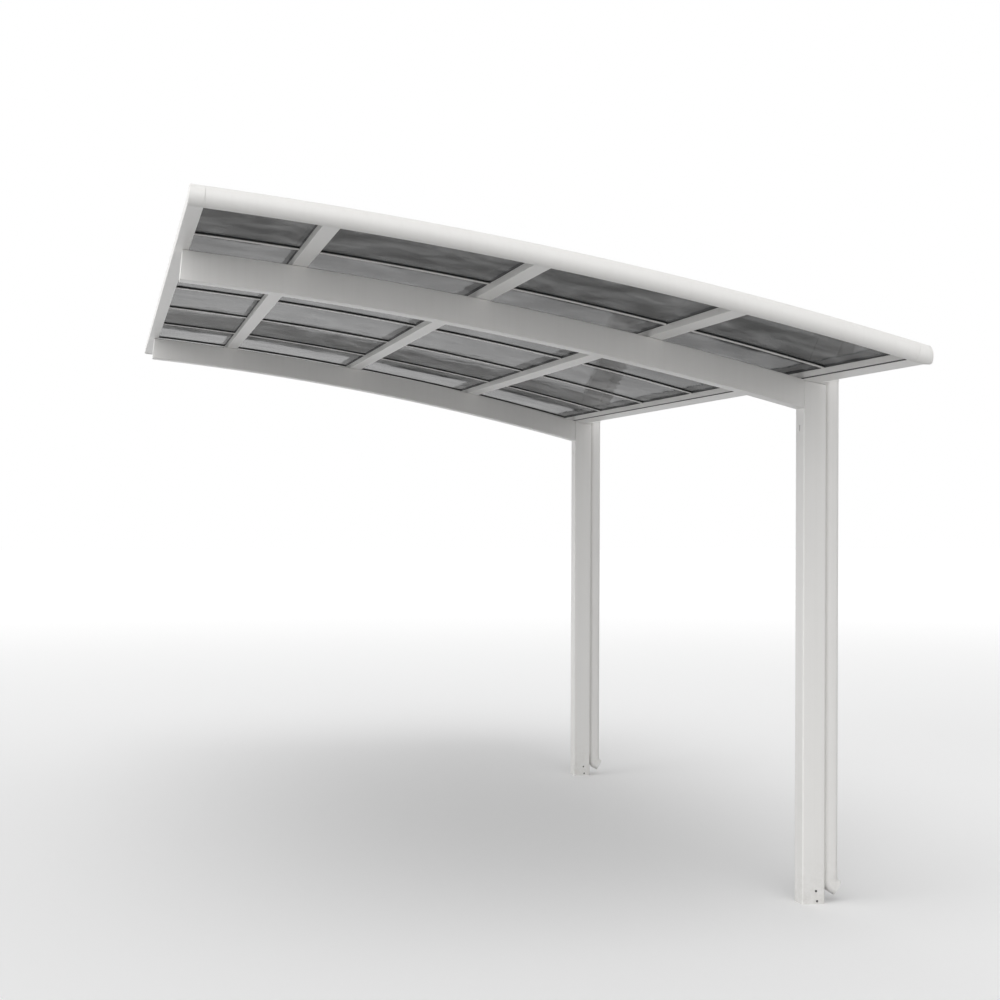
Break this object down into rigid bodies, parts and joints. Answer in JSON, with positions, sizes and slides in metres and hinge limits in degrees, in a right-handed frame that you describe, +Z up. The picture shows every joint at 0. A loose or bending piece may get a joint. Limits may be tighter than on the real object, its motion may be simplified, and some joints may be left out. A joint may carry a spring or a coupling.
{
  "type": "cantilever carport",
  "caption": "Open carport with an arched smoked-sheet roof on curved box beams that cantilever from posts along its low side.",
  "frame": {"origin": "centre of the near post's foot, on the ground", "axes": "+X from the high edge towards the low edge over the posts, +Y from the near post to the far post, +Z up"},
  "size_m": [2.7351, 5.495, 2.6763],
  "materials": {
    "white_coat": "white powder coat, satin",
    "white_plastic": "satin",
    "smoked_sheet": "gloss",
    "rubber_seal": "matte",
    "zinc_steel": "satin"
  },
  "bodies": {
    "root": {"cross_gaskets": "rubber_seal", "far_beam": "white_coat", "far_beam_end_cap": "white_plastic", "far_corner_plates": "zinc_steel", "far_downpipe": "white_coat", "far_downpipe_shoe": "white_coat", "far_gutter_outlet": "white_coat", "far_high_corner": "white_plastic", "far_low_corner": "white_plastic", "far_post": "white_coat", "far_post_cap": "white_plastic", "far_post_foot": "zinc_steel", "far_trim": "white_coat", "high_edge_rail": "white_coat", "joint_gaskets": "rubber_seal", "low_edge_gutter": "white_coat", "near_beam": "white_coat", "near_beam_end_cap": "white_plastic", "near_corner_plates": "zinc_steel", "near_downpipe": "white_coat", "near_downpipe_shoe": "white_coat", "near_gutter_outlet": "white_coat", "near_high_corner": "white_plastic", "near_low_corner": "white_plastic", "near_post": "white_coat", "near_post_cap": "white_plastic", "near_post_foot": "zinc_steel", "near_trim": "white_coat", "panel_joint_1": "white_coat", "panel_joint_2": "white_coat", "panel_joint_3": "white_coat", "panel_joint_4": "white_coat", "panel_joint_5": "white_coat", "panel_joint_6": "white_coat", "purlin_1": "white_coat", "purlin_2": "white_coat", "purlin_3": "white_coat", "roof_panel_1": "smoked_sheet", "roof_panel_2": "smoked_sheet", "roof_panel_3": "smoked_sheet", "roof_panel_4": "smoked_sheet", "roof_panel_5": "smoked_sheet", "roof_panel_6": "smoked_sheet", "roof_panel_7": "smoked_sheet"}
  },
  "joints": []
}
